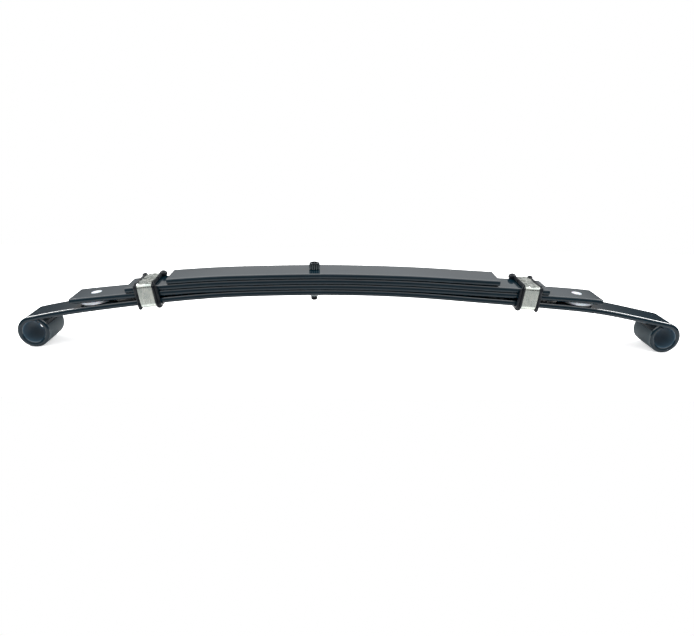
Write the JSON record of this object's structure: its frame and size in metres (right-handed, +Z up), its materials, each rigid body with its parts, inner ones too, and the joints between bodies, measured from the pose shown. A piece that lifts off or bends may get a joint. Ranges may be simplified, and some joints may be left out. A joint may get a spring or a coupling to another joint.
{
  "type": "leaf spring",
  "caption": "Semi-elliptic leaf spring: a stack of flat leaves with rolled eyes, centre bolt, rebound clips and tip pads; carries and cushions a light vehicle's axle.",
  "frame": {"origin": "midway between the two eyes, on the surface that the eyes stand on", "axes": "+X along the leaves towards the longer arm, +Y across them, +Z up, away from the main leaf towards the short leaves"},
  "size_m": [0.798, 0.0552, 0.103],
  "materials": {
    "leaf_paint": "gloss black paint with a blue-grey cast",
    "bolt_steel": "black oxide, oiled",
    "clip_zinc": "zinc plated, satin",
    "liner_rubber": "moulded, semi-matte",
    "pad_nylon": "natural white nylon"
  },
  "bodies": {
    "eyes": {"main_leaf": "leaf_paint"},
    "pack": {"second_leaf": "leaf_paint", "third_leaf": "leaf_paint", "top_leaf": "leaf_paint", "centre_bolt": "bolt_steel", "centre_nut": "bolt_steel", "clip_band_short_arm": "clip_zinc", "clip_band_long_arm": "clip_zinc", "clip_liner_short_arm": "liner_rubber", "clip_liner_long_arm": "liner_rubber", "tip_pad_short_arm": "pad_nylon", "tip_pad_long_arm": "pad_nylon"}
  },
  "joints": [
    {"name": "deflection", "type": "slide", "parent": "eyes", "child": "pack", "axis": [0, 0, 1], "range_m": [-0.04, 0.008], "stiffness_N_per_m": 30000, "deforming": ["main_leaf"]}
  ]
}
